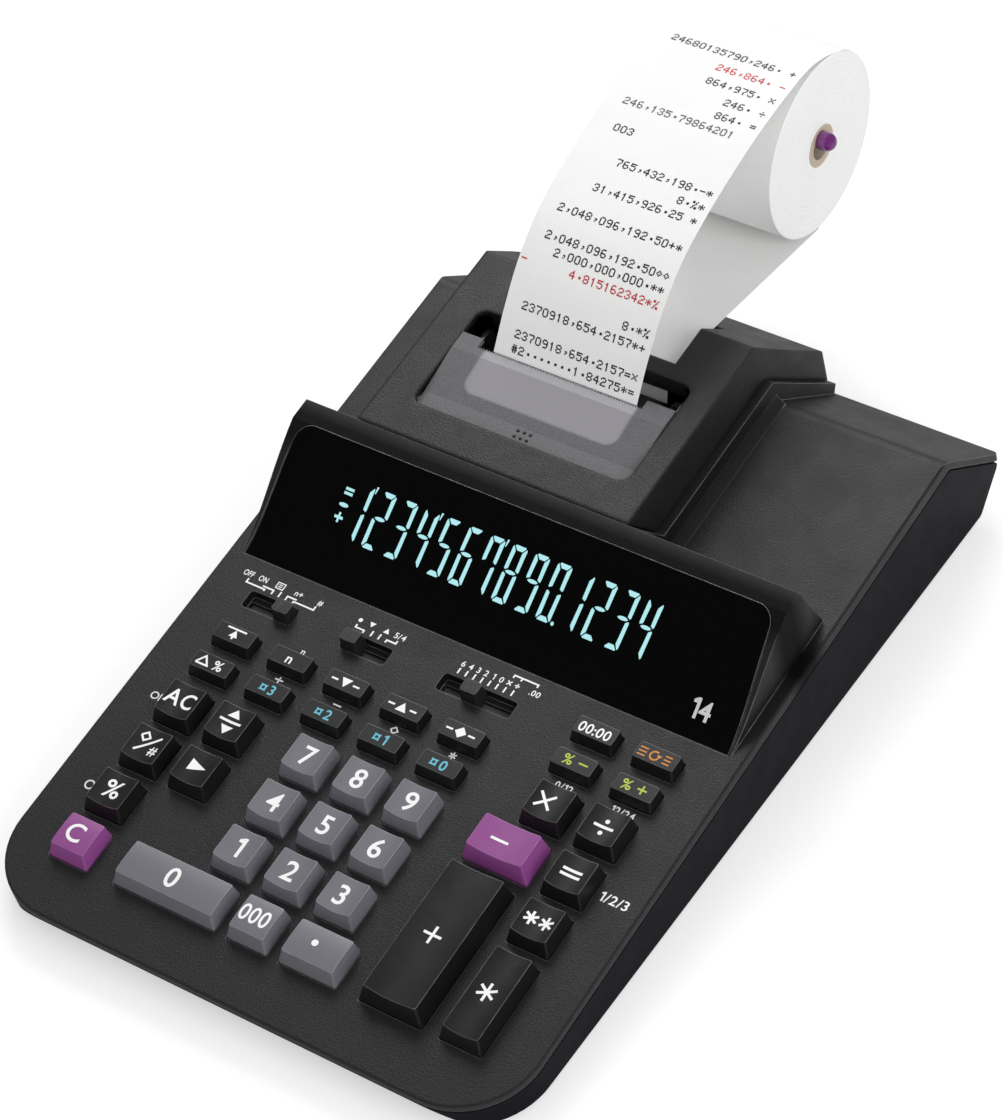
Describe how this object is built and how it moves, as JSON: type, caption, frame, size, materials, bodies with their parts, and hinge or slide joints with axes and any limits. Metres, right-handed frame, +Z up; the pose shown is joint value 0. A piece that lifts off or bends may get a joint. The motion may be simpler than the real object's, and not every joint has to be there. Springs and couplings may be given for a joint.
{
  "type": "printing calculator",
  "caption": "Desktop printing calculator: sloped key deck, raised display lens, printer with tear-off cover, and a paper roll on a folding rear arm feeding the printed tape",
  "frame": {"origin": "middle of the bounding box in X and Y, at the feet's bottom", "axes": "+X right seen from the keyboard side, +Y to the back towards the paper roll, +Z up"},
  "size_m": [0.2064, 0.3991, 0.1242],
  "materials": {
    "deck_plastic": "fine textured matte",
    "base_plastic": "satin",
    "lens": "polished, dark tinted",
    "tube_glass": "dark display tube",
    "board": "bare board",
    "mat_rubber": "matte",
    "smoke_plastic": "clear smoke",
    "frame_steel": "plain steel",
    "head_plastic": "matte",
    "platen_rubber": "matte",
    "paper": "smooth printed",
    "core_card": "wound card",
    "arm_plastic": "satin",
    "cap_purple": "satin",
    "feet_rubber": "matte",
    "screw_steel": "zinc plated",
    "key_black": "satin",
    "key_grey": "satin",
    "key_purple": "satin",
    "knob_black": "satin"
  },
  "bodies": {
    "housing": {"upper_case": "deck_plastic", "lower_case": "base_plastic", "display_lens": "lens", "display_tube": "tube_glass", "main_board": "board", "key_mat": "mat_rubber", "printer_frame": "frame_steel", "rubber_feet": "feet_rubber", "case_screws": "screw_steel", "paper_tape": "paper"},
    "cover": {"printer_cover": "deck_plastic"},
    "cutter": {"cutter_cover": "smoke_plastic"},
    "arm": {"roll_arm": "arm_plastic", "spindle_cap": "cap_purple"},
    "roll": {"paper_roll": "paper", "roll_core": "core_card"},
    "platen": {"platen_roller": "platen_rubber"},
    "head": {"print_head": "head_plastic"},
    "key_clear_all": {"key_clear_all": "key_black"},
    "key_sign_change": {"key_sign_change": "key_black"},
    "key_percent": {"key_percent": "key_black"},
    "key_clear": {"key_clear": "key_purple"},
    "key_markup": {"key_markup": "key_black"},
    "key_shift_right": {"key_shift_right": "key_black"},
    "key_digit_7": {"key_digit_7": "key_grey"},
    "key_digit_8": {"key_digit_8": "key_grey"},
    "key_digit_9": {"key_digit_9": "key_grey"},
    "key_digit_4": {"key_digit_4": "key_grey"},
    "key_digit_5": {"key_digit_5": "key_grey"},
    "key_digit_6": {"key_digit_6": "key_grey"},
    "key_digit_1": {"key_digit_1": "key_grey"},
    "key_digit_2": {"key_digit_2": "key_grey"},
    "key_digit_3": {"key_digit_3": "key_grey"},
    "key_digit_000": {"key_digit_000": "key_grey"},
    "key_digit_0": {"key_digit_0": "key_grey"},
    "key_decimal_point": {"key_decimal_point": "key_grey"},
    "key_multiply": {"key_multiply": "key_black"},
    "key_divide": {"key_divide": "key_black"},
    "key_equals": {"key_equals": "key_black"},
    "key_grand_total": {"key_grand_total": "key_black"},
    "key_minus": {"key_minus": "key_purple"},
    "key_plus": {"key_plus": "key_black"},
    "key_total": {"key_total": "key_black"},
    "key_paper_feed": {"key_paper_feed": "key_black"},
    "key_item": {"key_item": "key_black"},
    "key_cost": {"key_cost": "key_black"},
    "key_sell": {"key_sell": "key_black"},
    "key_margin": {"key_margin": "key_black"},
    "key_change_percent": {"key_change_percent": "key_black"},
    "key_currency_3": {"key_currency_3": "key_black"},
    "key_currency_2": {"key_currency_2": "key_black"},
    "key_currency_1": {"key_currency_1": "key_black"},
    "key_currency_home": {"key_currency_home": "key_black"},
    "key_time": {"key_time": "key_black"},
    "key_reprint": {"key_reprint": "key_black"},
    "key_tax_minus": {"key_tax_minus": "key_black"},
    "key_tax_plus": {"key_tax_plus": "key_black"},
    "switch_power": {"switch_power": "knob_black"},
    "switch_rounding": {"switch_rounding": "knob_black"},
    "switch_decimal": {"switch_decimal": "knob_black"}
  },
  "joints": [
    {"name": "press_clear_all", "type": "slide", "parent": "housing", "child": "key_clear_all", "axis": [0, 0.1189, -0.9929], "range_m": [0, 0.0028], "stiffness_N_per_m": 160, "springref_m": -0.0015},
    {"name": "press_sign_change", "type": "slide", "parent": "housing", "child": "key_sign_change", "axis": [0, 0.1189, -0.9929], "range_m": [0, 0.0028], "stiffness_N_per_m": 160, "springref_m": -0.0015},
    {"name": "press_percent", "type": "slide", "parent": "housing", "child": "key_percent", "axis": [0, 0.1189, -0.9929], "range_m": [0, 0.0028], "stiffness_N_per_m": 160, "springref_m": -0.0015},
    {"name": "press_clear", "type": "slide", "parent": "housing", "child": "key_clear", "axis": [0, 0.1189, -0.9929], "range_m": [0, 0.0028], "stiffness_N_per_m": 160, "springref_m": -0.0015},
    {"name": "press_markup", "type": "slide", "parent": "housing", "child": "key_markup", "axis": [0, 0.1189, -0.9929], "range_m": [0, 0.0028], "stiffness_N_per_m": 160, "springref_m": -0.0015},
    {"name": "press_shift_right", "type": "slide", "parent": "housing", "child": "key_shift_right", "axis": [0, 0.1189, -0.9929], "range_m": [0, 0.0028], "stiffness_N_per_m": 160, "springref_m": -0.0015},
    {"name": "press_digit_7", "type": "slide", "parent": "housing", "child": "key_digit_7", "axis": [0, 0.1189, -0.9929], "range_m": [0, 0.0028], "stiffness_N_per_m": 160, "springref_m": -0.0015},
    {"name": "press_digit_8", "type": "slide", "parent": "housing", "child": "key_digit_8", "axis": [0, 0.1189, -0.9929], "range_m": [0, 0.0028], "stiffness_N_per_m": 160, "springref_m": -0.0015},
    {"name": "press_digit_9", "type": "slide", "parent": "housing", "child": "key_digit_9", "axis": [0, 0.1189, -0.9929], "range_m": [0, 0.0028], "stiffness_N_per_m": 160, "springref_m": -0.0015},
    {"name": "press_digit_4", "type": "slide", "parent": "housing", "child": "key_digit_4", "axis": [0, 0.1189, -0.9929], "range_m": [0, 0.0028], "stiffness_N_per_m": 160, "springref_m": -0.0015},
    {"name": "press_digit_5", "type": "slide", "parent": "housing", "child": "key_digit_5", "axis": [0, 0.1189, -0.9929], "range_m": [0, 0.0028], "stiffness_N_per_m": 160, "springref_m": -0.0015},
    {"name": "press_digit_6", "type": "slide", "parent": "housing", "child": "key_digit_6", "axis": [0, 0.1189, -0.9929], "range_m": [0, 0.0028], "stiffness_N_per_m": 160, "springref_m": -0.0015},
    {"name": "press_digit_1", "type": "slide", "parent": "housing", "child": "key_digit_1", "axis": [0, 0.1189, -0.9929], "range_m": [0, 0.0028], "stiffness_N_per_m": 160, "springref_m": -0.0015},
    {"name": "press_digit_2", "type": "slide", "parent": "housing", "child": "key_digit_2", "axis": [0, 0.1189, -0.9929], "range_m": [0, 0.0028], "stiffness_N_per_m": 160, "springref_m": -0.0015},
    {"name": "press_digit_3", "type": "slide", "parent": "housing", "child": "key_digit_3", "axis": [0, 0.1189, -0.9929], "range_m": [0, 0.0028], "stiffness_N_per_m": 160, "springref_m": -0.0015},
    {"name": "press_digit_000", "type": "slide", "parent": "housing", "child": "key_digit_000", "axis": [0, 0.1189, -0.9929], "range_m": [0, 0.0028], "stiffness_N_per_m": 160, "springref_m": -0.0015},
    {"name": "press_digit_0", "type": "slide", "parent": "housing", "child": "key_digit_0", "axis": [0, 0.1189, -0.9929], "range_m": [0, 0.0028], "stiffness_N_per_m": 160, "springref_m": -0.0015},
    {"name": "press_decimal_point", "type": "slide", "parent": "housing", "child": "key_decimal_point", "axis": [0, 0.1189, -0.9929], "range_m": [0, 0.0028], "stiffness_N_per_m": 160, "springref_m": -0.0015},
    {"name": "press_multiply", "type": "slide", "parent": "housing", "child": "key_multiply", "axis": [0, 0.1189, -0.9929], "range_m": [0, 0.0028], "stiffness_N_per_m": 160, "springref_m": -0.0015},
    {"name": "press_divide", "type": "slide", "parent": "housing", "child": "key_divide", "axis": [0, 0.1189, -0.9929], "range_m": [0, 0.0028], "stiffness_N_per_m": 160, "springref_m": -0.0015},
    {"name": "press_equals", "type": "slide", "parent": "housing", "child": "key_equals", "axis": [0, 0.1189, -0.9929], "range_m": [0, 0.0028], "stiffness_N_per_m": 160, "springref_m": -0.0015},
    {"name": "press_grand_total", "type": "slide", "parent": "housing", "child": "key_grand_total", "axis": [0, 0.1189, -0.9929], "range_m": [0, 0.0028], "stiffness_N_per_m": 160, "springref_m": -0.0015},
    {"name": "press_minus", "type": "slide", "parent": "housing", "child": "key_minus", "axis": [0, 0.1189, -0.9929], "range_m": [0, 0.0028], "stiffness_N_per_m": 160, "springref_m": -0.0015},
    {"name": "press_plus", "type": "slide", "parent": "housing", "child": "key_plus", "axis": [0, 0.1189, -0.9929], "range_m": [0, 0.0028], "stiffness_N_per_m": 160, "springref_m": -0.0015},
    {"name": "press_total", "type": "slide", "parent": "housing", "child": "key_total", "axis": [0, 0.1189, -0.9929], "range_m": [0, 0.0028], "stiffness_N_per_m": 160, "springref_m": -0.0015},
    {"name": "press_paper_feed", "type": "slide", "parent": "housing", "child": "key_paper_feed", "axis": [0, 0.1189, -0.9929], "range_m": [0, 0.0028], "stiffness_N_per_m": 160, "springref_m": -0.0015},
    {"name": "press_item", "type": "slide", "parent": "housing", "child": "key_item", "axis": [0, 0.1189, -0.9929], "range_m": [0, 0.0028], "stiffness_N_per_m": 160, "springref_m": -0.0015},
    {"name": "press_cost", "type": "slide", "parent": "housing", "child": "key_cost", "axis": [0, 0.1189, -0.9929], "range_m": [0, 0.0028], "stiffness_N_per_m": 160, "springref_m": -0.0015},
    {"name": "press_sell", "type": "slide", "parent": "housing", "child": "key_sell", "axis": [0, 0.1189, -0.9929], "range_m": [0, 0.0028], "stiffness_N_per_m": 160, "springref_m": -0.0015},
    {"name": "press_margin", "type": "slide", "parent": "housing", "child": "key_margin", "axis": [0, 0.1189, -0.9929], "range_m": [0, 0.0028], "stiffness_N_per_m": 160, "springref_m": -0.0015},
    {"name": "press_change_percent", "type": "slide", "parent": "housing", "child": "key_change_percent", "axis": [0, 0.1189, -0.9929], "range_m": [0, 0.0028], "stiffness_N_per_m": 160, "springref_m": -0.0015},
    {"name": "press_currency_3", "type": "slide", "parent": "housing", "child": "key_currency_3", "axis": [0, 0.1189, -0.9929], "range_m": [0, 0.0028], "stiffness_N_per_m": 160, "springref_m": -0.0015},
    {"name": "press_currency_2", "type": "slide", "parent": "housing", "child": "key_currency_2", "axis": [0, 0.1189, -0.9929], "range_m": [0, 0.0028], "stiffness_N_per_m": 160, "springref_m": -0.0015},
    {"name": "press_currency_1", "type": "slide", "parent": "housing", "child": "key_currency_1", "axis": [0, 0.1189, -0.9929], "range_m": [0, 0.0028], "stiffness_N_per_m": 160, "springref_m": -0.0015},
    {"name": "press_currency_home", "type": "slide", "parent": "housing", "child": "key_currency_home", "axis": [0, 0.1189, -0.9929], "range_m": [0, 0.0028], "stiffness_N_per_m": 160, "springref_m": -0.0015},
    {"name": "press_time", "type": "slide", "parent": "housing", "child": "key_time", "axis": [0, 0.1189, -0.9929], "range_m": [0, 0.0028], "stiffness_N_per_m": 160, "springref_m": -0.0015},
    {"name": "press_reprint", "type": "slide", "parent": "housing", "child": "key_reprint", "axis": [0, 0.1189, -0.9929], "range_m": [0, 0.0028], "stiffness_N_per_m": 160, "springref_m": -0.0015},
    {"name": "press_tax_minus", "type": "slide", "parent": "housing", "child": "key_tax_minus", "axis": [0, 0.1189, -0.9929], "range_m": [0, 0.0028], "stiffness_N_per_m": 160, "springref_m": -0.0015},
    {"name": "press_tax_plus", "type": "slide", "parent": "housing", "child": "key_tax_plus", "axis": [0, 0.1189, -0.9929], "range_m": [0, 0.0028], "stiffness_N_per_m": 160, "springref_m": -0.0015},
    {"name": "switch_power_slide", "type": "slide", "parent": "housing", "child": "switch_power", "axis": [1, 0, 0], "range_m": [-0.0127, 0]},
    {"name": "switch_rounding_slide", "type": "slide", "parent": "housing", "child": "switch_rounding", "axis": [1, 0, 0], "range_m": [0, 0.0106]},
    {"name": "switch_decimal_slide", "type": "slide", "parent": "housing", "child": "switch_decimal", "axis": [1, 0, 0], "range_m": [-0.0097, 0.012]},
    {"name": "cover_lift", "type": "slide", "parent": "housing", "child": "cover", "axis": [0, -0.1189, 0.9929], "range_m": [0, 0.03], "deforming": ["paper_tape"]},
    {"name": "cutter_hinge", "type": "hinge", "parent": "cover", "child": "cutter", "pos_m": [-0.02075, 0.01539, 0.0621], "axis": [1, 0, 0], "range_deg": [0, 85]},
    {"name": "arm_fold", "type": "hinge", "parent": "housing", "child": "arm", "pos_m": [-0.056, 0.12546, 0.02432], "axis": [-1, 0, 0], "range_deg": [0, 45], "deforming": ["paper_tape"]},
    {"name": "roll_spin", "type": "hinge", "parent": "arm", "child": "roll", "pos_m": [-0.0203, 0.16515, 0.08648], "axis": [-1, 0, 0], "continuous": true},
    {"name": "platen_spin", "type": "hinge", "parent": "housing", "child": "platen", "pos_m": [-0.0203, 0.05119, 0.05329], "axis": [-1, 0, 0], "continuous": true},
    {"name": "head_shuttle", "type": "slide", "parent": "housing", "child": "head", "axis": [1, 0, 0], "range_m": [0, 0.05]}
  ],
  "couplings": [
    {"joint": "platen_spin", "follows": "roll_spin", "ratio": 5.5323}
  ]
}
